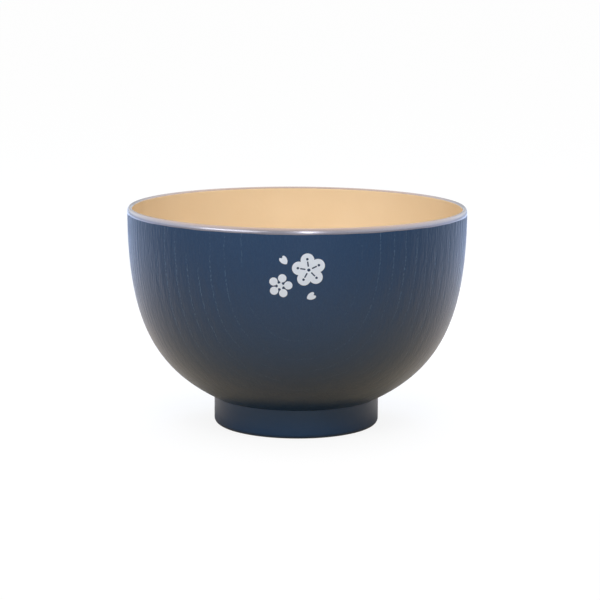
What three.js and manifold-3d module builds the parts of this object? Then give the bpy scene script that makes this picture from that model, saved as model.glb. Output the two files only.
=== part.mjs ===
// A lacquered soup bowl: one turned body, the coats of paint that cover it, and a printed sprig of blossom.
// Millimetres, +Z up. The origin is the centre of the ring that the foot stands on, and -Y is the front.

import * as THREE from 'three';
import { mergeVertices } from 'three/addons/utils/BufferGeometryUtils.js';
import Module from 'manifold-3d';

const wasm = await Module();
wasm.setup();

// Bowl
const RIM_DIAMETER = 112;
const BOWL_HEIGHT = 72.6;
const LIP_THICKNESS = 1.6;
const LIP_ROUND_HEIGHT = 1.6; // the outer half of the lip is a tall round, the inner half a plain one
const WALL_THICKNESS_AT_FOOT = 3.4;
const FLOOR_THICKNESS = 4.6;

// The wall leaves the foot at this angle above level and ends upright at the lip.
// Each fullness is how far the curve keeps to its end's direction, as a share of the overhang or of the rise.
const WALL_ANGLE_AT_FOOT = 26.8;
const WALL_FULLNESS_AT_FOOT = 0.715;
const WALL_FULLNESS_AT_LIP = 0.576;

// Foot, a ring with a hollow under it
const FOOT_DIAMETER = 54.8;
const FOOT_HEIGHT = 9.5;
const FOOT_RING_WIDTH = 4.4;
const FOOT_OUTER_EDGE_RADIUS = 1.6;
const FOOT_INNER_EDGE_RADIUS = 0.8;
const RECESS_DEPTH = 5.6;
const RECESS_COVE_RADIUS = 2.2;

// Coats, with the band measured down from the crest of the lip
const COAT_THICKNESS = 0.3;
const BAND_DROP_OUTSIDE = 1.8;
const BAND_DROP_INSIDE = 0.6;

// Print, on the front of the wall. Its middle is measured down from the crest, and its pieces from its middle.
const INK_THICKNESS = 0.2;
const PRINT_DROP = 15.1;
const PETAL_COUNT = 5;

const LARGE_BLOSSOM = {
  right: 3.7,
  up: 2.4,
  turn: 8,
  lobeRadius: 2.1,
  lobeReach: 3.1,
  eyeRadius: 0.5,
  stamenStart: 1.25,
  stamenEnd: 2.5,
  stamenWidth: 0.45,
  antherReach: 3.4,
  antherRadius: 0.4,
};

const SMALL_BLOSSOM = {
  right: -5.0,
  up: -2.6,
  turn: -14,
  discRadius: 1.3,
  discReach: 2.45,
  heartRadius: 0.8,
  spokeWidth: 0.5,
};

const PETAL_LENGTH = 2.8;
const PETAL_WIDTH = 2.1;
const PETAL_NOTCH = 0.5;
const PETAL_HANDLE_SHARE = 2 / 3; // a side bulges out to the petal's width with its handles this far out
const UPPER_PETAL = { right: -3.9, up: 5.3, turn: 38 };
const LOWER_PETAL = { right: 4.4, up: -5.9, turn: -62 };

// Fineness of the facets
const SIDES = 48;
const WALL_STEPS = 11;
const FLOOR_STEPS = 4;
const LIP_STEPS = 2;
const EDGE_STEPS = 3;
const COVE_STEPS = 2;
const PRINT_ARC_STEPS = 5;
const TOUCHING = 1e-6;

const rimRadius = RIM_DIAMETER / 2;
const lipRadius = LIP_THICKNESS / 2;
const wallTopHeight = BOWL_HEIGHT - LIP_ROUND_HEIGHT;
const footRadius = FOOT_DIAMETER / 2;
const recessRadius = footRadius - FOOT_RING_WIDTH;
const floorHeight = RECESS_DEPTH + FLOOR_THICKNESS;

const degrees = THREE.MathUtils.degToRad;

function point(radius, height) {
  return new THREE.Vector2(radius, height);
}

function arc(centreRadius, centreHeight, radius, fromDegrees, toDegrees, steps) {
  const clockwise = toDegrees < fromDegrees;
  const curve = new THREE.EllipseCurve(
    centreRadius, centreHeight, radius, radius, degrees(fromDegrees), degrees(toDegrees), clockwise);
  return curve.getPoints(steps);
}

// Splits a rising or falling line of points at a height, and gives both halves the crossing point.
function splitAtHeight(line, height) {
  const after = line.findIndex((p) => (height - p.y) * (height - line[0].y) <= 0);
  const [from, to] = [line[after - 1], line[after]];
  const crossing = from.clone().lerp(to, (height - from.y) / (to.y - from.y));
  const rest = line.slice(after).filter((p) => p.distanceTo(crossing) > TOUCHING);
  return [[...line.slice(0, after), crossing], [crossing, ...rest]];
}

// Finished section of the bowl, from the middle of the underside round the lip to the middle of the floor

const recessLine = [
  point(0, RECESS_DEPTH),
  ...arc(recessRadius - RECESS_COVE_RADIUS, RECESS_DEPTH - RECESS_COVE_RADIUS,
    RECESS_COVE_RADIUS, 90, 0, COVE_STEPS),
  ...arc(recessRadius + FOOT_INNER_EDGE_RADIUS, FOOT_INNER_EDGE_RADIUS,
    FOOT_INNER_EDGE_RADIUS, 180, 270, EDGE_STEPS),
];

const footLine = [
  recessLine.at(-1),
  ...arc(footRadius - FOOT_OUTER_EDGE_RADIUS, FOOT_OUTER_EDGE_RADIUS,
    FOOT_OUTER_EDGE_RADIUS, -90, 0, EDGE_STEPS),
  point(footRadius, FOOT_HEIGHT),
];

const wallRun = (rimRadius - footRadius) * WALL_FULLNESS_AT_FOOT;
const wallDrop = (wallTopHeight - FOOT_HEIGHT) * WALL_FULLNESS_AT_LIP;
const wallCurve = new THREE.CubicBezierCurve(
  point(footRadius, FOOT_HEIGHT),
  point(footRadius + wallRun, FOOT_HEIGHT + wallRun * Math.tan(degrees(WALL_ANGLE_AT_FOOT))),
  point(rimRadius, wallTopHeight - wallDrop),
  point(rimRadius, wallTopHeight),
);
const wallLine = wallCurve.getPoints(WALL_STEPS);

const crestRadius = rimRadius - lipRadius;
const outerLipLine = new THREE.EllipseCurve(
  crestRadius, wallTopHeight, lipRadius, LIP_ROUND_HEIGHT, 0, degrees(90)).getPoints(LIP_STEPS);
const innerLipLine = arc(crestRadius, BOWL_HEIGHT - lipRadius, lipRadius, 90, 180, LIP_STEPS);

// The inner wall stands off the outer one by a thickness that grows from the lip to the foot.
const innerWallLine = wallLine.map((p, i) => {
  const share = i / WALL_STEPS;
  const along = wallCurve.getTangent(share);
  const thickness = THREE.MathUtils.lerp(WALL_THICKNESS_AT_FOOT, LIP_THICKNESS, share);
  return point(p.x - along.y * thickness, p.y + along.x * thickness);
});

// The floor runs on from the inner wall's foot, levels out and reaches the middle flat.
const floorEdge = innerWallLine[0];
const floorBend = (floorEdge.y - floorHeight) / Math.tan(degrees(WALL_ANGLE_AT_FOOT));
const floorLine = new THREE.CubicBezierCurve(
  floorEdge,
  point(floorEdge.x - floorBend, floorHeight),
  point(floorEdge.x / 2, floorHeight),
  point(0, floorHeight),
).getPoints(FLOOR_STEPS);

const [outsideLine, outerBandLine] = splitAtHeight(
  [...wallLine, ...outerLipLine.slice(1)], BOWL_HEIGHT - BAND_DROP_OUTSIDE);
const [innerBandLine, insideWallLine] = splitAtHeight(
  [...innerLipLine, ...[...innerWallLine].reverse()], BOWL_HEIGHT - BAND_DROP_INSIDE);
const bandLine = [...outerBandLine, ...innerBandLine.slice(1)];
const insideLine = [...insideWallLine, ...floorLine.slice(1)];

const finishedStretches = [recessLine, footLine, outsideLine, bandLine, insideLine];

// Moves a line of points sideways to its left, with mitred corners. A point on the axis stays on it.
function setBack(line, distance) {
  const steps = line.slice(1).map((p, i) => p.clone().sub(line[i]).normalize());
  return line.map((p, i) => {
    const before = steps[i - 1] ?? steps[i];
    const after = steps[i] ?? steps[i - 1];
    if (p.x === 0) {
      return point(0, p.y + Math.sign(after.x) * distance);
    }
    const reach = distance / (1 + before.dot(after));
    return point(p.x - (before.y + after.y) * reach, p.y + (before.x + after.x) * reach);
  });
}

// The body's own section lies one coat inside the finished one.
const finishedLine = finishedStretches.flatMap((line, i) => (i === 0 ? line : line.slice(1)));
const coreLine = setBack(finishedLine, COAT_THICKNESS);

let stretchStart = 0;
const coreStretches = finishedStretches.map((line) => {
  const start = stretchStart;
  stretchStart += line.length - 1;
  return coreLine.slice(start, start + line.length);
});

// Solids

function turned(profile) {
  return new THREE.LatheGeometry(profile, SIDES).rotateX(Math.PI / 2);
}

// A coat fills the space between the finished surface and the body.
function coat(finished, core) {
  const back = [...core].reverse();
  if (finished[0].x === 0) {
    return turned([...finished, ...back]);
  }
  if (finished.at(-1).x === 0) {
    return turned([...back, ...finished]);
  }
  return turned([...finished, ...back, finished[0]]);
}

function solidOf(geometry) {
  const bare = geometry.clone();
  bare.deleteAttribute('normal');
  bare.deleteAttribute('uv');
  const merged = mergeVertices(bare);
  return new wasm.Manifold(new wasm.Mesh({
    numProp: 3,
    vertProperties: new Float32Array(merged.attributes.position.array),
    triVerts: new Uint32Array(merged.index.array),
  }));
}

function geometryOf(solid) {
  const mesh = solid.getMesh();
  const geometry = new THREE.BufferGeometry();
  geometry.setAttribute('position', new THREE.BufferAttribute(mesh.vertProperties, mesh.numProp));
  geometry.setIndex(new THREE.BufferAttribute(mesh.triVerts, 1));
  geometry.computeVertexNormals();
  return geometry;
}

// A film of ink as thick as the print, all over the outside of the wall
const inkLine = setBack(outsideLine, -INK_THICKNESS);
const inkFilm = solidOf(turned([...inkLine, ...[...outsideLine].reverse(), inkLine[0]]));

// Cuts one flat outline out of the film, seen from the front.
function printed(shape, { right, up, turn }) {
  const cutter = new THREE.ExtrudeGeometry(shape, {
    depth: rimRadius + INK_THICKNESS + COAT_THICKNESS,
    bevelEnabled: false,
    curveSegments: PRINT_ARC_STEPS,
  });
  cutter.rotateZ(degrees(turn));
  cutter.rotateX(Math.PI / 2);
  cutter.translate(right, 0, BOWL_HEIGHT - PRINT_DROP + up);
  return geometryOf(inkFilm.intersect(solidOf(cutter)));
}

function petalAngles() {
  return Array.from({ length: PETAL_COUNT }, (_, k) => Math.PI / 2 + (2 * Math.PI * k) / PETAL_COUNT);
}

function roundHole(x, y, radius) {
  return new THREE.Path().absarc(x, y, radius, 0, 2 * Math.PI, false);
}

// Five round petals that run together, with an eye, stamens and their tips left open
function largeBlossomShape(b) {
  const half = Math.PI / PETAL_COUNT;
  const notch = b.lobeReach * Math.cos(half)
    + Math.sqrt(b.lobeRadius ** 2 - (b.lobeReach * Math.sin(half)) ** 2);
  const sweep = Math.atan2(notch * Math.sin(half), notch * Math.cos(half) - b.lobeReach);
  const shape = new THREE.Shape();
  for (const a of petalAngles()) {
    const [x, y] = [Math.cos(a), Math.sin(a)];
    shape.absarc(b.lobeReach * x, b.lobeReach * y, b.lobeRadius, a - sweep, a + sweep, false);
    const stamen = new THREE.Path();
    const quarter = Math.PI / 2;
    stamen.absarc(b.stamenEnd * x, b.stamenEnd * y, b.stamenWidth / 2, a - quarter, a + quarter, false);
    stamen.absarc(b.stamenStart * x, b.stamenStart * y, b.stamenWidth / 2, a + quarter, a - quarter, false);
    stamen.closePath();
    shape.holes.push(stamen, roundHole(b.antherReach * x, b.antherReach * y, b.antherRadius));
  }
  shape.closePath();
  shape.holes.push(roundHole(0, 0, b.eyeRadius));
  return shape;
}

// Five discs on thin spokes round a small heart
function smallBlossomShape(b) {
  const discGap = Math.asin(b.spokeWidth / 2 / b.discRadius);
  const heartGap = Math.asin(b.spokeWidth / 2 / b.heartRadius);
  const step = (2 * Math.PI) / PETAL_COUNT;
  const shape = new THREE.Shape();
  for (const a of petalAngles()) {
    const [x, y] = [b.discReach * Math.cos(a), b.discReach * Math.sin(a)];
    shape.absarc(x, y, b.discRadius, a - Math.PI + discGap, a + Math.PI - discGap, false);
    shape.absarc(0, 0, b.heartRadius, a + heartGap, a + step - heartGap, false);
  }
  shape.closePath();
  return shape;
}

// A loose petal, pointed at its base and notched at its tip
function petalShape() {
  const reach = PETAL_LENGTH / 2;
  const side = PETAL_WIDTH * PETAL_HANDLE_SHARE;
  const shape = new THREE.Shape();
  shape.moveTo(0, -reach);
  shape.bezierCurveTo(side, -reach / 2, side, reach, PETAL_NOTCH, reach);
  shape.lineTo(0, reach - PETAL_NOTCH);
  shape.lineTo(-PETAL_NOTCH, reach);
  shape.bezierCurveTo(-side, reach, -side, -reach / 2, 0, -reach);
  return shape;
}

// Finishes
const bareBody = new THREE.MeshStandardMaterial({ color: 0x8a6a4a, roughness: 0.8, metalness: 0 });
const beigeCoat = new THREE.MeshStandardMaterial({ color: 0xdfb98c, roughness: 0.5, metalness: 0 });
const navyGrainCoat = new THREE.MeshStandardMaterial({ color: 0x2c3f5c, roughness: 0.45, metalness: 0 });
const navyCoat = new THREE.MeshStandardMaterial({ color: 0x2a3c57, roughness: 0.4, metalness: 0 });
const silverPaint = new THREE.MeshStandardMaterial({ color: 0xb4b2bd, roughness: 0.3, metalness: 0.8 });
const silverInk = new THREE.MeshStandardMaterial({ color: 0xdfe4f2, roughness: 0.4, metalness: 0.5 });

const [recessCore, footCore, outsideCore, bandCore, insideCore] = coreStretches;
const bowl = new THREE.Group();

function add(name, geometry, material) {
  const mesh = new THREE.Mesh(geometry, material);
  mesh.name = name;
  bowl.add(mesh);
}

add('bowl_core', turned(coreLine), bareBody);
add('underside_coat', coat(recessLine, recessCore), navyCoat);
add('foot_coat', coat(footLine, footCore), navyCoat);
add('outside_coat', coat(outsideLine, outsideCore), navyGrainCoat);
add('rim_band', coat(bandLine, bandCore), silverPaint);
add('inside_coat', coat(insideLine, insideCore), beigeCoat);
add('print_large_blossom', printed(largeBlossomShape(LARGE_BLOSSOM), LARGE_BLOSSOM), silverInk);
add('print_small_blossom', printed(smallBlossomShape(SMALL_BLOSSOM), SMALL_BLOSSOM), silverInk);
add('print_upper_petal', printed(petalShape(), UPPER_PETAL), silverInk);
add('print_lower_petal', printed(petalShape(), LOWER_PETAL), silverInk);

export default bowl;
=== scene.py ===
import math

import bmesh
import bpy
from mathutils import Euler, Matrix, Vector
from mathutils.bvhtree import BVHTree
from mathutils.geometry import interpolate_bezier


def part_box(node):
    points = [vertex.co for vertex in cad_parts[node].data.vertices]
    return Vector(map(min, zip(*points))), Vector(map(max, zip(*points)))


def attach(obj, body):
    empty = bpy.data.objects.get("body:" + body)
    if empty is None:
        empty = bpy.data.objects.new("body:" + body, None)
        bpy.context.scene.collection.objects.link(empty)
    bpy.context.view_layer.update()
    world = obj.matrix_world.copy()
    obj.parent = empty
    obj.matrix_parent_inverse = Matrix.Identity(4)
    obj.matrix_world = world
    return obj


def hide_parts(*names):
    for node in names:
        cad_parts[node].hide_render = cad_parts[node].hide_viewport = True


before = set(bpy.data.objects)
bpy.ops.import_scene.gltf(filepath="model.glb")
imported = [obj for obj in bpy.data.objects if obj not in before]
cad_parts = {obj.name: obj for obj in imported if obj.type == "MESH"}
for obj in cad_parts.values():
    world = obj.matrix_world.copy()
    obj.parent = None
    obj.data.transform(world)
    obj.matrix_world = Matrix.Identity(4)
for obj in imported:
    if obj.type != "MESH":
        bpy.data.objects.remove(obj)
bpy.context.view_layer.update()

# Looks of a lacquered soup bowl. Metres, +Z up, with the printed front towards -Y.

MM = 0.001

# Sizes of the bowl, from the frame where a node's box gives them

RIM_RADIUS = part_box("rim_band")[1].x
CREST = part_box("rim_band")[1].z
BAND_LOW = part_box("rim_band")[0].z
FOOT_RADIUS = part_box("foot_coat")[1].x
FOOT_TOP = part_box("outside_coat")[0].z
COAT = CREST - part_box("bowl_core")[1].z
RECESS_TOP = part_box("underside_coat")[1].z - COAT
FLOOR_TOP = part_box("inside_coat")[0].z + COAT

LIP_RADIUS = 0.8 * MM
LIP_ROUND_HEIGHT = 1.6 * MM
WALL_AT_FOOT = 3.4 * MM
WALL_ANGLE_AT_FOOT = math.radians(26.8)
WALL_FULLNESS_AT_FOOT = 0.715
WALL_FULLNESS_AT_LIP = 0.576
FOOT_RING_WIDTH = 4.4 * MM
FOOT_OUTER_EDGE = 1.6 * MM
FOOT_INNER_EDGE = 0.8 * MM
RECESS_COVE = 2.2 * MM

# The silver paint and the ink lie on top of the coats, and the band's lower edge was drawn by hand.

BAND_INSIDE_DROP = 0.6 * MM
BAND_PROUD = 0.03 * MM
BAND_WAVER = 0.10 * MM
BAND_WAVES = (5, 13, 31)
INK_PROUD = 0.06 * MM

PRINT_HEIGHT = 57.5 * MM
PRINT_CELL = 0.8 * MM
PRINT_CELLS_EACH_WAY = 7
PETAL_COUNT = 5

# Fineness of the turned pieces

AROUND = 240
WALL_STEPS = 72
FLOOR_STEPS = 24
LIP_STEPS = 16
EDGE_SEGMENTS = 8
ARC_STEPS = 14
MERGE = 0.0005 * MM
SHARP_ANGLE = math.radians(40)

# Camera, fitted to the rim, band, wall and foot of the photographed bowl

CAMERA_PLACE = Vector((1.06, -684.8, 158.4)) * MM
CAMERA_PITCH = math.radians(9.72)
CAMERA_ROLL = math.radians(0.331)
FOCAL_PIXELS = 2087.9
FRAME_PIXELS = 600
SENSOR = 36.0


# Materials

def linear(hex_colour):
    """An sRGB hex colour as linear RGBA."""
    channels = [int(hex_colour[k:k + 2], 16) / 255 for k in (1, 3, 5)]
    return [c / 12.92 if c <= 0.04045 else ((c + 0.055) / 1.055) ** 2.4 for c in channels] + [1.0]


def add(tree, kind, inputs, **settings):
    """Adds a node with its settings. An input that is given as a socket is linked, any other is set."""
    made = tree.nodes.new(kind)
    for name, value in settings.items():
        setattr(made, name, value)
    for key, value in inputs.items():
        if isinstance(value, bpy.types.NodeSocket):
            tree.links.new(value, made.inputs[key])
        else:
            made.inputs[key].default_value = value
    return made.outputs


def bare_material(name):
    material = bpy.data.materials.new(name)
    material.use_nodes = True
    material.node_tree.nodes.clear()
    return material


def shade(material, **inputs):
    """Gives a material its one Principled shader."""
    tree = material.node_tree
    sockets = {name.replace("_", " "): value for name, value in inputs.items()}
    surface = add(tree, "ShaderNodeBsdfPrincipled", sockets)["BSDF"]
    add(tree, "ShaderNodeOutputMaterial", {"Surface": surface})
    return material


def place_in_mm(tree, across=1.0, along=1.0):
    """Object coordinates in millimetres, over a pattern's width across X and Y and its length along Z."""
    place = add(tree, "ShaderNodeTexCoord", {})["Object"]
    scale = (1 / (across * MM), 1 / (across * MM), 1 / (along * MM))
    return add(tree, "ShaderNodeMapping", {"Vector": place, "Scale": scale})["Vector"]


def flecks(tree, first, second, size_mm, detail):
    """Soft flecks between two near colours. Gives their pattern and their colour."""
    place = place_in_mm(tree, across=size_mm, along=size_mm)
    pattern = add(tree, "ShaderNodeTexNoise", {"Vector": place, "Scale": 1.0, "Detail": detail})["Fac"]
    colours = {6: linear(first), 7: linear(second)}
    colour = add(tree, "ShaderNodeMix", {0: pattern, **colours}, data_type="RGBA")[2]
    return pattern, colour


def navy_over_open_grain():
    """Navy urethane sprayed thin over open-grained wood, semi-gloss. Each growth layer has a row of open
    pores that shows as a thin broken line, upright at the sides and in nested arcs at the front. Short
    grooves lie between the rows, and become a stipple where the wall turns under and cuts the fibres across.
    Pores and grooves are drawn as coarse as they need to show."""
    material = bare_material("navy_urethane_over_open_grain")
    tree = material.node_tree
    layer_way = Vector((-0.033, 1.0, 0.03)).normalized()
    layer_mm = 2.88
    first_layer_mm = 48.4
    bend_mm = 1.6
    waver_mm = 0.5
    slow_growth_mm = 1.0
    slow_growth_layers = 10
    row_edge_mm = 0.40
    row_middle_mm = 0.08
    least_slant = 0.02
    fade_below_mm = 32.0
    full_above_mm = 54.0
    least_grain_and_glint = 0.4
    fibre_share = 0.07
    tint_share = 0.44
    ridge_mm = 0.06
    strand_mm = 0.15
    low_strand_mm = 0.075
    pore_depth_mm = 0.04

    # How deep the surface lies in the flat layers, which bend and waver and are thinner in slow years
    place = place_in_mm(tree)
    depth = add(tree, "ShaderNodeVectorMath", {0: place, 1: layer_way}, operation="DOT_PRODUCT")["Value"]
    bends = place_in_mm(tree, across=33.3, along=66.7)
    bend = add(tree, "ShaderNodeTexNoise", {"Vector": bends, "Scale": 1.0, "Detail": 1.0})["Fac"]
    depth = add(tree, "ShaderNodeMath", {0: bend, 1: bend_mm, 2: depth}, operation="MULTIPLY_ADD")["Value"]
    wavers = place_in_mm(tree, across=3.33, along=8.33)
    waver = add(tree, "ShaderNodeTexNoise", {"Vector": wavers, "Scale": 1.0, "Detail": 1.0})["Fac"]
    depth = add(tree, "ShaderNodeMath", {0: waver, 1: waver_mm, 2: depth}, operation="MULTIPLY_ADD")["Value"]
    start_mm = first_layer_mm - (bend_mm + waver_mm) / 2
    layer = add(tree, "ShaderNodeMath", {0: depth, 1: start_mm}, operation="ADD")["Value"]
    turn_per_mm = 2 * math.pi / (slow_growth_layers * layer_mm)
    year = add(tree, "ShaderNodeMath", {0: layer, 1: turn_per_mm}, operation="MULTIPLY")["Value"]
    slow = add(tree, "ShaderNodeMath", {0: year}, operation="SINE")["Value"]
    layer = add(tree, "ShaderNodeMath", {0: slow, 1: slow_growth_mm, 2: layer},
                operation="MULTIPLY_ADD")["Value"]

    # Each layer is a low ridge, which shows as streaks in the sheen at the sides
    off_row = add(tree, "ShaderNodeMath", {0: layer, 1: layer_mm / 2}, operation="PINGPONG")["Value"]
    ridge = add(tree, "ShaderNodeMapRange", {"Value": off_row, "From Max": layer_mm / 2},
                interpolation_type="SMOOTHSTEP")["Result"]

    # Distance over the surface to the nearest row of pores
    normal = add(tree, "ShaderNodeNewGeometry", {})["Normal"]
    facing = add(tree, "ShaderNodeVectorMath", {0: normal, 1: layer_way}, operation="DOT_PRODUCT")["Value"]
    facing = add(tree, "ShaderNodeMath", {0: facing, 1: facing}, operation="MULTIPLY")["Value"]
    slant = add(tree, "ShaderNodeMath", {0: 1 + least_slant, 1: facing}, operation="SUBTRACT")["Value"]
    slant = add(tree, "ShaderNodeMath", {0: slant}, operation="SQRT")["Value"]
    off_row = add(tree, "ShaderNodeMath", {0: off_row, 1: slant}, operation="DIVIDE")["Value"]
    row = add(tree, "ShaderNodeMapRange",
              {"Value": off_row, "From Min": row_edge_mm, "From Max": row_middle_mm},
              interpolation_type="SMOOTHSTEP")["Result"]

    # Pores are short upright grooves, and a row is richer in them in some places than in others
    fibres = place_in_mm(tree, across=0.294, along=0.833)
    fibre = add(tree, "ShaderNodeTexNoise", {"Vector": fibres, "Scale": 1.0, "Detail": 1.0})["Fac"]
    pore = add(tree, "ShaderNodeMapRange", {"Value": fibre, "From Min": 0.48, "From Max": 0.60},
               interpolation_type="SMOOTHSTEP")["Result"]
    patches = place_in_mm(tree, across=8.33, along=20)
    patch = add(tree, "ShaderNodeTexNoise", {"Vector": patches, "Scale": 1.0, "Detail": 1.0})["Fac"]
    rich = add(tree, "ShaderNodeMapRange",
               {"Value": patch, "From Min": 0.35, "From Max": 0.62, "To Min": 0.1})["Result"]
    row = add(tree, "ShaderNodeMath", {0: row, 1: rich}, operation="MULTIPLY")["Value"]
    open_pore = add(tree, "ShaderNodeMapRange", {"Value": pore, "To Min": 0.05})["Result"]
    row = add(tree, "ShaderNodeMath", {0: row, 1: open_pore}, operation="MULTIPLY")["Value"]
    cut_across = add(tree, "ShaderNodeMapRange",
                     {"Value": slant, "From Min": 0.2, "From Max": 0.45})["Result"]
    row = add(tree, "ShaderNodeMath", {0: row, 1: cut_across}, operation="MULTIPLY")["Value"]

    # The grain's pale lines, its relief and its rough pores fade low on the wall. The fading of the pale
    # lines is painted light: high on the wall the pores catch the light from above, and low down they do not.
    up = add(tree, "ShaderNodeSeparateXYZ", {"Vector": place})["Z"]
    rise = {"Value": up, "From Min": fade_below_mm, "From Max": full_above_mm}
    grain_and_glint_high = add(tree, "ShaderNodeMapRange", {**rise, "To Min": least_grain_and_glint})["Result"]
    row = add(tree, "ShaderNodeMath", {0: row, 1: grain_and_glint_high}, operation="MULTIPLY")["Value"]
    between = add(tree, "ShaderNodeMath", {0: pore, 1: fibre_share}, operation="MULTIPLY")["Value"]
    grain = add(tree, "ShaderNodeMath", {0: row, 1: between}, operation="MAXIMUM")["Value"]

    # Colour, relief and gloss
    # Pale tint of the pore lines, weaker low on the wall: this fading is painted light from above
    tint = add(tree, "ShaderNodeMath", {0: grain, 1: tint_share}, operation="MULTIPLY")["Value"]
    colours = {6: linear("#1e3e63"), 7: linear("#6483a4")}
    colour = add(tree, "ShaderNodeMix", {0: tint, **colours}, data_type="RGBA")[2]
    relief = add(tree, "ShaderNodeMath", {0: ridge, 1: rich}, operation="MULTIPLY")["Value"]
    relief = add(tree, "ShaderNodeMath", {0: relief, 1: grain_and_glint_high}, operation="MULTIPLY")["Value"]
    height = add(tree, "ShaderNodeMath", {0: relief, 1: ridge_mm}, operation="MULTIPLY")["Value"]
    strands = place_in_mm(tree, across=0.833, along=3.57)
    strand = add(tree, "ShaderNodeTexNoise", {"Vector": strands, "Scale": 1.0, "Detail": 2.0})["Fac"]
    sunk = add(tree, "ShaderNodeMapRange", {**rise, "To Min": low_strand_mm, "To Max": strand_mm})["Result"]
    height = add(tree, "ShaderNodeMath", {0: strand, 1: sunk, 2: height}, operation="MULTIPLY_ADD")["Value"]
    height = add(tree, "ShaderNodeMath", {0: grain, 1: -pore_depth_mm, 2: height},
                 operation="MULTIPLY_ADD")["Value"]
    bump = add(tree, "ShaderNodeBump", {"Height": height, "Distance": MM})["Normal"]
    roughness = add(tree, "ShaderNodeMapRange", {"Value": grain, "To Min": 0.34, "To Max": 0.7})["Result"]
    return shade(material, Base_Color=colour, Roughness=roughness, IOR=1.45, Normal=bump)


def sprayed_coat(name, first, second, roughness, ior):
    """Sprayed urethane on a smooth ground: a soft mottle of two near colours and a faint orange peel."""
    material = bare_material(name)
    tree = material.node_tree
    _, colour = flecks(tree, first, second, size_mm=10, detail=3.0)
    place = place_in_mm(tree, across=1.25, along=1.25)
    peel = add(tree, "ShaderNodeTexNoise", {"Vector": place, "Scale": 1.0, "Detail": 1.0})["Fac"]
    bump = add(tree, "ShaderNodeBump", {"Height": peel, "Distance": 0.02 * MM})["Normal"]
    return shade(material, Base_Color=colour, Roughness=roughness, IOR=ior, Normal=bump)


def silver_lip_paint():
    """Silver paint with aluminium flake, brushed round the lip: a satin metal under a clear, sharp gloss. The
    flake is drawn coarser than the real one, so that it shows."""
    material = bare_material("silver_flake_paint")
    tree = material.node_tree
    flake, colour = flecks(tree, "#8e8c96", "#a4a2ae", size_mm=0.25, detail=2.0)
    bump = add(tree, "ShaderNodeBump", {"Height": flake, "Distance": 0.004 * MM})["Normal"]
    return shade(material, Base_Color=colour, Metallic=0.9, Roughness=0.28, Normal=bump, Coat_Weight=1.0,
                 Coat_Roughness=0.06, Coat_IOR=1.5)


def silver_print_ink():
    """Screen-printed silver ink, whose fine pigment looks pale and satin more than metallic. The grit of the
    pigment is drawn coarser than the real one, so that it shows."""
    material = bare_material("silver_screen_ink")
    tree = material.node_tree
    grit, colour = flecks(tree, "#dcebff", "#eaf4ff", size_mm=0.333, detail=2.0)
    bump = add(tree, "ShaderNodeBump", {"Height": grit, "Distance": 0.01 * MM})["Normal"]
    return shade(material, Base_Color=colour, Roughness=0.4, IOR=1.6, Normal=bump)


def wood_filled_resin():
    """Bare moulded body of resin filled with wood flour: brown, matte and speckled. The coats hide it."""
    material = bare_material("wood_filled_resin")
    _, colour = flecks(material.node_tree, "#6e5238", "#9a7a56", size_mm=0.5, detail=4.0)
    return shade(material, Base_Color=colour, Roughness=0.8)


# Lines of the bowl's section

def on_section(radius, height):
    return Vector((radius, 0, height))


def outer_wall_line():
    top = CREST - LIP_ROUND_HEIGHT
    run = (RIM_RADIUS - FOOT_RADIUS) * WALL_FULLNESS_AT_FOOT
    drop = (top - FOOT_TOP) * WALL_FULLNESS_AT_LIP
    return interpolate_bezier(
        on_section(FOOT_RADIUS, FOOT_TOP),
        on_section(FOOT_RADIUS + run, FOOT_TOP + run * math.tan(WALL_ANGLE_AT_FOOT)),
        on_section(RIM_RADIUS, top - drop),
        on_section(RIM_RADIUS, top),
        WALL_STEPS + 1)


def outer_lip_line(proud=0):
    """The tall round from the wall's top over to the crest, or a film's surface that far proud of it."""
    angles = [math.pi / 2 * k / LIP_STEPS for k in range(LIP_STEPS + 1)]
    return [on_section(RIM_RADIUS - LIP_RADIUS + (LIP_RADIUS + proud) * math.cos(a),
                       CREST - LIP_ROUND_HEIGHT + (LIP_ROUND_HEIGHT + proud) * math.sin(a)) for a in angles]


def inner_wall_line():
    """The outer line moved in by a thickness that grows from the lip to the foot."""
    outer = outer_wall_line()
    inner = []
    for i, p in enumerate(outer):
        along = (outer[min(i + 1, WALL_STEPS)] - outer[max(i - 1, 0)]).normalized()
        thickness = WALL_AT_FOOT + (2 * LIP_RADIUS - WALL_AT_FOOT) * i / WALL_STEPS
        inner.append(p + Vector((-along.z, 0, along.x)) * thickness)
    return inner


def floor_line(edge):
    """From the inner wall's foot, levelling out to the middle of the floor."""
    bend = (edge.z - FLOOR_TOP) / math.tan(WALL_ANGLE_AT_FOOT)
    return interpolate_bezier(
        edge,
        on_section(edge.x - bend, FLOOR_TOP),
        on_section(edge.x / 2, FLOOR_TOP),
        on_section(0, FLOOR_TOP),
        FLOOR_STEPS + 1)


# Pieces

def turn_line(line, rounds=()):
    """Turns a line of points round the bowl's axis. Each of the rounds is a corner's place in the line and
    its radius."""
    bm = bmesh.new()
    verts = [bm.verts.new(p) for p in line]
    for pair in zip(verts, verts[1:]):
        bm.edges.new(pair)
    corners = [(verts[place], radius) for place, radius in rounds]
    for corner, radius in corners:
        bmesh.ops.bevel(bm, geom=[corner], offset=radius, offset_type="OFFSET", segments=EDGE_SEGMENTS,
                        profile=0.5, affect="VERTICES", material=-1)
    bmesh.ops.remove_doubles(bm, verts=bm.verts[:], dist=MERGE)
    bmesh.ops.spin(bm, geom=bm.verts[:] + bm.edges[:], cent=(0, 0, 0), axis=(0, 0, 1), angle=2 * math.pi,
                   steps=AROUND, use_merge=True)
    bmesh.ops.remove_doubles(bm, verts=bm.verts[:], dist=MERGE)
    bmesh.ops.recalc_face_normals(bm, faces=bm.faces[:])
    return bm


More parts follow.
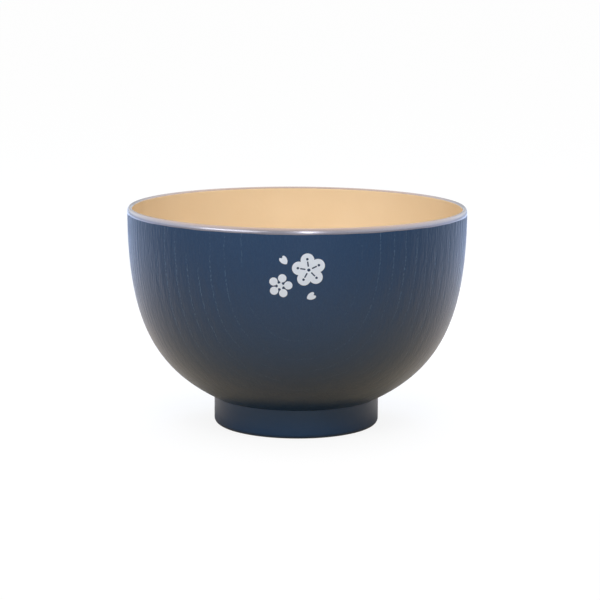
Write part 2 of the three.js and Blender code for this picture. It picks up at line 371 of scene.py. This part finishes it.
def thicken(bm, thickness, eye):
    """Gives a skin its thickness behind the side that shows to the eye, a point near that side."""
    nearest = min(bm.faces, key=lambda face: (face.calc_center_median() - eye).length)
    if nearest.normal.dot(eye - nearest.calc_center_median()) < 0:
        bmesh.ops.reverse_faces(bm, faces=bm.faces[:])
    bmesh.ops.solidify(bm, geom=bm.faces[:], thickness=thickness)


def finish_piece(name, bm, material, node):
    mesh = bpy.data.meshes.new(name)
    bm.to_mesh(mesh)
    bm.free()
    mesh.shade_smooth()
    mesh.set_sharp_from_angle(angle=SHARP_ANGLE)
    mesh.materials.append(material)
    piece = bpy.data.objects.new(name, mesh)
    bpy.context.scene.collection.objects.link(piece)
    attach(piece, "root")
    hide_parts(node)


def outside_skin():
    """The outer wall and the outer half of the lip."""
    return turn_line(outer_wall_line() + outer_lip_line()[1:])


def inside_skin():
    """The inner half of the lip, the inner wall and the floor."""
    inner_wall = inner_wall_line()
    line = [on_section(RIM_RADIUS - LIP_RADIUS, CREST), on_section(RIM_RADIUS - 2 * LIP_RADIUS, CREST)]
    line += inner_wall[::-1] + floor_line(inner_wall[0])[1:]
    return turn_line(line, [(1, LIP_RADIUS)])


def band_skin():
    """A film over the lip, from the outer wall to just inside the crest. Its lower edge wavers a little."""
    inner = RIM_RADIUS - 2 * LIP_RADIUS - BAND_PROUD
    line = [on_section(RIM_RADIUS + BAND_PROUD, BAND_LOW)] + outer_lip_line(BAND_PROUD)
    line += [on_section(inner, CREST + BAND_PROUD), on_section(inner, CREST - LIP_RADIUS)]
    bm = turn_line(line, [(len(line) - 2, LIP_RADIUS + BAND_PROUD)])
    inside = [v for v in bm.verts if v.co.xy.length < RIM_RADIUS - LIP_RADIUS]
    below = [v for v in inside if v.co.z < CREST - BAND_INSIDE_DROP]
    bmesh.ops.delete(bm, geom=below, context="VERTS")
    for vert in bm.verts:
        if vert.co.z < BAND_LOW + MERGE:
            angle = math.atan2(vert.co.y, vert.co.x)
            swing = sum(math.sin(waves * angle + start) for start, waves in enumerate(BAND_WAVES))
            vert.co.z += BAND_WAVER * swing / len(BAND_WAVES)
    return bm


def foot_skin():
    inner = FOOT_RADIUS - FOOT_RING_WIDTH + FOOT_INNER_EDGE
    line = [on_section(inner, 0), on_section(FOOT_RADIUS, 0), on_section(FOOT_RADIUS, FOOT_TOP)]
    return turn_line(line, [(1, FOOT_OUTER_EDGE)])


def underside_skin():
    recess_radius = FOOT_RADIUS - FOOT_RING_WIDTH
    line = [on_section(0, RECESS_TOP), on_section(recess_radius, RECESS_TOP), on_section(recess_radius, 0),
            on_section(recess_radius + FOOT_INNER_EDGE, 0)]
    return turn_line(line, [(1, RECESS_COVE), (2, FOOT_INNER_EDGE)])


# Print, drawn flat as (right, up) points in millimetres and then laid on the wall

def arc(centre, radius, start, end):
    angles = [start + (end - start) * k / ARC_STEPS for k in range(ARC_STEPS + 1)]
    return [centre + Vector((math.cos(a), math.sin(a))) * radius for a in angles]


def petal_directions():
    angles = [math.pi / 2 + 2 * math.pi * k / PETAL_COUNT for k in range(PETAL_COUNT)]
    return [(a, Vector((math.cos(a), math.sin(a)))) for a in angles]


def large_blossom_loops():
    """Five round petals that run together, with an eye, stamens and their tips left open."""
    lobe_radius = 2.1
    lobe_reach = 3.1
    eye_radius = 0.5
    stamen_start = 1.25
    stamen_end = 2.5
    stamen_half_width = 0.225
    tip_reach = 3.4
    tip_radius = 0.4
    half = math.pi / PETAL_COUNT
    notch = lobe_reach * math.cos(half) + math.sqrt(lobe_radius ** 2 - (lobe_reach * math.sin(half)) ** 2)
    sweep = math.atan2(notch * math.sin(half), notch * math.cos(half) - lobe_reach)
    outline = []
    holes = [arc(Vector((0, 0)), eye_radius, 0, 2 * math.pi)]
    for angle, out in petal_directions():
        outline += arc(out * lobe_reach, lobe_radius, angle - sweep, angle + sweep)
        quarter = math.pi / 2
        holes.append(arc(out * stamen_end, stamen_half_width, angle - quarter, angle + quarter)
                     + arc(out * stamen_start, stamen_half_width, angle + quarter, angle + 3 * quarter))
        holes.append(arc(out * tip_reach, tip_radius, 0, 2 * math.pi))
    return [outline] + holes


def small_blossom_loops():
    """Five discs on thin spokes round a small heart."""
    disc_radius = 1.3
    disc_reach = 2.45
    heart_radius = 0.8
    spoke_half_width = 0.25
    disc_gap = math.asin(spoke_half_width / disc_radius)
    heart_gap = math.asin(spoke_half_width / heart_radius)
    step = 2 * math.pi / PETAL_COUNT
    outline = []
    for angle, out in petal_directions():
        outline += arc(out * disc_reach, disc_radius, angle - math.pi + disc_gap, angle + math.pi - disc_gap)
        outline += arc(Vector((0, 0)), heart_radius, angle + heart_gap, angle + step - heart_gap)
    return [outline]


def petal_loops():
    """A loose petal, pointed at its base and notched at its tip."""
    reach = 1.4
    side = 1.4
    notch = 0.5
    right = interpolate_bezier(Vector((0, -reach)), Vector((side, -reach / 2)), Vector((side, reach)),
                               Vector((notch, reach)), ARC_STEPS)
    left = [Vector((-p.x, p.y)) for p in reversed(right)]
    return [right + [Vector((0, reach - notch))] + left]


def lay_print(loops, right, up, turn, wall):
    """Fills flat loops, cuts them into small cells and lays them on the front of the wall."""
    bm = bmesh.new()
    for loop in loops:
        verts = [bm.verts.new((p.x * MM, 0, p.y * MM)) for p in loop]
        for pair in zip(verts, verts[1:] + verts[:1]):
            bm.edges.new(pair)
    bmesh.ops.remove_doubles(bm, verts=bm.verts[:], dist=MERGE)
    bmesh.ops.triangle_fill(bm, edges=bm.edges[:], use_beauty=True)
    turned = Matrix.Rotation(-math.radians(turn), 3, "Y")
    bmesh.ops.rotate(bm, verts=bm.verts[:], cent=(0, 0, 0), matrix=turned)
    for k in range(-PRINT_CELLS_EACH_WAY, PRINT_CELLS_EACH_WAY + 1):
        for across in ((1, 0, 0), (0, 0, 1)):
            bmesh.ops.bisect_plane(bm, geom=bm.verts[:] + bm.edges[:] + bm.faces[:], dist=MERGE,
                                   plane_co=Vector(across) * k * PRINT_CELL, plane_no=across)
    bmesh.ops.translate(bm, verts=bm.verts[:], vec=(right * MM, 0, PRINT_HEIGHT + up * MM))
    backwards = Vector((0, 1, 0))
    for vert in bm.verts:
        hit, normal, _, _ = wall.ray_cast(vert.co - backwards, backwards)
        vert.co = hit + normal * INK_PROUD
    bmesh.ops.recalc_face_normals(bm, faces=bm.faces[:])
    return bm


# Stage

def ray_kinds(tree):
    """Which rays come straight from the camera, and which show a thing in a glossy or clear surface."""
    ray = add(tree, "ShaderNodeLightPath", {})
    mirrored = add(tree, "ShaderNodeMath", {0: ray["Is Glossy Ray"], 1: ray["Is Transmission Ray"]},
                   operation="MAXIMUM")["Value"]
    return ray["Is Camera Ray"], mirrored


def white_card():
    """Card that looks white to the camera, with a light shadow under the bowl. In reflections it is warm
    close to the bowl and grey in front, with pale blue sides behind. It gives the bowl little light."""
    material = bare_material("white_card")
    tree = material.node_tree
    camera, mirrored = ray_kinds(tree)

    # Where a point of the card lies, in metres from the bowl's middle
    place = add(tree, "ShaderNodeTexCoord", {})["Object"]
    away = add(tree, "ShaderNodeVectorMath", {0: place}, operation="LENGTH")["Value"]
    far = add(tree, "ShaderNodeMapRange", {"Value": away, "From Min": 0.10, "From Max": 0.45})["Result"]
    spot = add(tree, "ShaderNodeSeparateXYZ", {"Vector": place})
    sideways = add(tree, "ShaderNodeMath", {0: spot["X"]}, operation="ABSOLUTE")["Value"]
    aside = add(tree, "ShaderNodeMapRange", {"Value": sideways, "From Min": 0.06, "From Max": 0.14})["Result"]
    beside = add(tree, "ShaderNodeMapRange",
                 {"Value": spot["Y"], "From Min": -0.06, "From Max": 0.03})["Result"]
    behind = add(tree, "ShaderNodeMapRange",
                 {"Value": spot["Y"], "From Min": -0.05, "From Max": 0.25})["Result"]

    # Its tone in reflections
    tones = {6: linear("#c8beb4"), 7: linear("#e0eafc")}
    back = add(tree, "ShaderNodeMix", {0: aside, **tones}, data_type="RGBA")[2]
    tones = {6: linear("#a8aab0"), 7: back}
    open_floor = add(tree, "ShaderNodeMix", {0: behind, **tones}, data_type="RGBA")[2]
    tones = {6: linear("#ffe2a8"), 7: linear("#f4e0c8")}
    close = add(tree, "ShaderNodeMix", {0: beside, **tones}, data_type="RGBA")[2]
    tone = add(tree, "ShaderNodeMix", {0: far, 6: close, 7: open_floor}, data_type="RGBA")[2]
    glow = add(tree, "ShaderNodeMix", {0: mirrored, 6: linear("#ffffff"), 7: tone}, data_type="RGBA")[2]

    # The card itself, lifted to white for the camera and part of the way in reflections
    shown = add(tree, "ShaderNodeMath", {0: camera, 1: mirrored}, operation="MAXIMUM")["Value"]
    colour = add(tree, "ShaderNodeMix", {0: shown, 6: linear("#6c543a"), 7: glow}, data_type="RGBA")[2]
    card = add(tree, "ShaderNodeBsdfDiffuse", {"Color": colour})["BSDF"]
    white = add(tree, "ShaderNodeEmission", {"Color": glow, "Strength": 1.0})["Emission"]
    seen = add(tree, "ShaderNodeMapRange",
               {"Value": away, "From Min": 0.05, "From Max": 0.35, "To Min": 0.88, "To Max": 0.98})["Result"]
    seen = add(tree, "ShaderNodeMath", {0: seen, 1: camera}, operation="MULTIPLY")["Value"]
    lift = add(tree, "ShaderNodeMapRange",
               {"Value": away, "From Min": 0.035, "From Max": 0.065, "To Min": 0.05, "To Max": 0.4})["Result"]
    lift = add(tree, "ShaderNodeMath", {0: mirrored, 1: lift, 2: seen}, operation="MULTIPLY_ADD")["Value"]
    surface = add(tree, "ShaderNodeMixShader", {0: lift, 1: card, 2: white})["Shader"]
    add(tree, "ShaderNodeOutputMaterial", {"Surface": surface})
    return material


def lay_floor():
    half_width = 20
    bm = bmesh.new()
    bmesh.ops.create_grid(bm, x_segments=4, y_segments=4, size=half_width)
    mesh = bpy.data.meshes.new("floor")
    bm.to_mesh(mesh)
    bm.free()
    mesh.materials.append(white_card())
    floor = bpy.data.objects.new("floor", mesh)
    bpy.context.scene.collection.objects.link(floor)


def soft_sky():
    """A sky that is white to the camera. Its light is stronger from behind, and weak and warm near the
    horizon. In reflections it is pale at the sides, overhead and at the horizon, with a warm tint overhead
    and a blue one at the horizon."""
    world = bpy.data.worlds.new("soft_white")
    bpy.context.scene.world = world
    world.use_nodes = True
    tree = world.node_tree
    tree.nodes.clear()
    camera, mirrored = ray_kinds(tree)
    way = add(tree, "ShaderNodeTexCoord", {})["Generated"]
    way = add(tree, "ShaderNodeSeparateXYZ", {"Vector": way})

    # Its light, by the way that it comes from, with Y back and Z up
    light = add(tree, "ShaderNodeMapRange", {"Value": way["Y"], "To Min": 0.34, "To Max": 0.65})["Result"]
    risen = add(tree, "ShaderNodeMapRange", {"Value": way["Z"], "From Min": 0.0, "From Max": 0.6})["Result"]
    dimmed = add(tree, "ShaderNodeMapRange", {"Value": risen, "To Min": 0.6})["Result"]
    light = add(tree, "ShaderNodeMath", {0: light, 1: dimmed}, operation="MULTIPLY")["Value"]
    hues = {6: linear("#ffd8a8"), 7: linear("#ffffff")}
    light_hue = add(tree, "ShaderNodeMix", {0: risen, **hues}, data_type="RGBA")[2]

    # How it shows in reflections
    overhead_boost = 0.55
    low = add(tree, "ShaderNodeMapRange", {"Value": way["Z"], "From Min": 0.12, "From Max": 0.02})["Result"]
    sideways = add(tree, "ShaderNodeMath", {0: way["X"]}, operation="ABSOLUTE")["Value"]
    aside = add(tree, "ShaderNodeMapRange", {"Value": sideways, "From Min": 0.2, "From Max": 0.6})["Result"]
    overhead = add(tree, "ShaderNodeMapRange",
                   {"Value": way["Z"], "From Min": 0.3, "From Max": 0.8})["Result"]
    pale = add(tree, "ShaderNodeMath", {0: low, 1: aside}, operation="MAXIMUM")["Value"]
    pale = add(tree, "ShaderNodeMath", {0: pale, 1: overhead}, operation="MAXIMUM")["Value"]
    pale = add(tree, "ShaderNodeMapRange", {"Value": pale, "To Min": 0.55, "To Max": 1.3})["Result"]
    pale = add(tree, "ShaderNodeMath", {0: overhead, 1: overhead_boost, 2: pale},
               operation="MULTIPLY_ADD")["Value"]
    front = add(tree, "ShaderNodeMapRange",
                {"Value": way["Y"], "From Min": -0.6, "From Max": 0.0, "To Min": 0.8})["Result"]
    backdrop = add(tree, "ShaderNodeMath", {0: pale, 1: front}, operation="MULTIPLY")["Value"]
    hues = {6: linear("#ffffff"), 7: linear("#ffe4c6")}
    hue = add(tree, "ShaderNodeMix", {0: overhead, **hues}, data_type="RGBA")[2]
    hue = add(tree, "ShaderNodeMix", {0: low, 6: hue, 7: linear("#d8e6ff")}, data_type="RGBA")[2]

    # Each kind of ray gets its own
    strength = add(tree, "ShaderNodeMix", {0: mirrored, 2: light, 3: backdrop}, data_type="FLOAT")[0]
    strength = add(tree, "ShaderNodeMix", {0: camera, 2: strength, 3: 1.0}, data_type="FLOAT")[0]
    hue = add(tree, "ShaderNodeMix", {0: mirrored, 6: light_hue, 7: hue}, data_type="RGBA")[2]
    hue = add(tree, "ShaderNodeMix", {0: camera, 6: hue, 7: linear("#ffffff")}, data_type="RGBA")[2]
    sky = add(tree, "ShaderNodeBackground", {"Color": hue, "Strength": strength})["Background"]
    add(tree, "ShaderNodeOutputWorld", {"Surface": sky})


def on_stage(azimuth, elevation, distance):
    """A place seen from the bowl's middle. Azimuth 0 is in front, towards the camera, and 90 is right."""
    turn = math.radians(azimuth)
    lift = math.radians(elevation)
    way = Vector((math.sin(turn) * math.cos(lift), -math.cos(turn) * math.cos(lift), math.sin(lift)))
    return Vector((0, 0, CREST / 2)) + way * distance


def hang_lamp(name, place, aim, width, height, watts, colour="#ffffff", mirrored=False):
    """A soft rectangular lamp, at one place on the stage and aimed at another. It shows in reflections only
    where it is mirrored."""
    data = bpy.data.lights.new(name, "AREA")
    data.shape = "RECTANGLE"
    data.size = width
    data.size_y = height
    data.energy = watts
    data.color = linear(colour)[:3]
    lamp = bpy.data.objects.new(name, data)
    lamp.location = on_stage(*place)
    lamp.rotation_euler = (lamp.location - on_stage(*aim)).to_track_quat("Z", "Y").to_euler()
    lamp.visible_glossy = mirrored
    bpy.context.scene.collection.objects.link(lamp)


def light_stage():
    """The sky and the lamps. Two slim lamps show as highlights on the lip, and the others only give light."""
    soft_sky()
    bowl = (0, 0, 0)
    hang_lamp("key_overhead", (0, 70, 1.5), bowl, width=1.7, height=1.3, watts=13.6)
    hang_lamp("window_left", (-45, 13, 1.2), bowl, width=0.85, height=0.10, watts=1.8, mirrored=True)
    hang_lamp("lamp_in_front", (7, 14, 1.2), bowl, width=0.13, height=0.36, watts=1.6, mirrored=True)
    hang_lamp("fill_in_front", (0, 45, 1.2), bowl, width=0.5, height=0.4, watts=4.8)
    for side, azimuth in (("left", -140), ("right", 140)):
        floor_behind = (azimuth, -5, 0.6)
        hang_lamp("backdrop_lamp_" + side, (azimuth, 50, 0.4), floor_behind, width=0.5, height=0.3, watts=4.0,
                  colour="#bcd6ff")


def set_camera():
    data = bpy.data.cameras.new("camera")
    data.sensor_width = SENSOR
    data.lens = FOCAL_PIXELS / FRAME_PIXELS * SENSOR
    camera = bpy.data.objects.new("camera", data)
    camera.location = CAMERA_PLACE
    level = Euler((math.pi / 2 - CAMERA_PITCH, 0, 0)).to_matrix()
    roll = Matrix.Rotation(CAMERA_ROLL, 3, "Z")
    camera.rotation_euler = (level @ roll).to_euler()
    bpy.context.scene.collection.objects.link(camera)
    bpy.context.scene.camera = camera
    bpy.context.scene.view_settings.view_transform = "Standard"


# Assembly

set_camera()
lay_floor()
light_stage()

grained_navy = navy_over_open_grain()
# The same navy on the smooth foot and under it
smooth_navy = sprayed_coat("navy_urethane_smooth", "#1a3c60", "#1e4166", roughness=0.36, ior=1.42)
satin_beige = sprayed_coat("beige_urethane_satin", "#dfc6a1", "#e3cca9", roughness=0.38, ior=1.5)
silver_paint = silver_lip_paint()
silver_ink = silver_print_ink()
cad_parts["bowl_core"].data.materials.clear()
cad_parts["bowl_core"].data.materials.append(wood_filled_resin())

beside = Vector((2 * RIM_RADIUS, 0, CREST / 2))
outside = outside_skin()
wall = BVHTree.FromBMesh(outside)
thicken(outside, COAT, beside)
finish_piece("grained_outside", outside, grained_navy, "outside_coat")

inside = inside_skin()
thicken(inside, COAT, Vector((0, 0, CREST / 2)))
finish_piece("beige_inside", inside, satin_beige, "inside_coat")

band = band_skin()
thicken(band, BAND_PROUD, beside)
finish_piece("silver_lip_band", band, silver_paint, "rim_band")

foot = foot_skin()
thicken(foot, COAT, beside)
finish_piece("navy_foot", foot, smooth_navy, "foot_coat")

underside = underside_skin()
thicken(underside, COAT, Vector((0, 0, 0)))
finish_piece("navy_underside", underside, smooth_navy, "underside_coat")

for name, loops, right, up, turn in (
        ("large_blossom", large_blossom_loops(), 3.7, 2.4, 8),
        ("small_blossom", small_blossom_loops(), -5.0, -2.6, -14),
        ("upper_petal", petal_loops(), -3.9, 5.3, 38),
        ("lower_petal", petal_loops(), 4.4, -5.9, -62)):
    ink = lay_print(loops, right, up, turn, wall)
    thicken(ink, INK_PROUD, Vector((0, -2 * RIM_RADIUS, PRINT_HEIGHT)))
    finish_piece("silver_" + name, ink, silver_ink, "print_" + name)
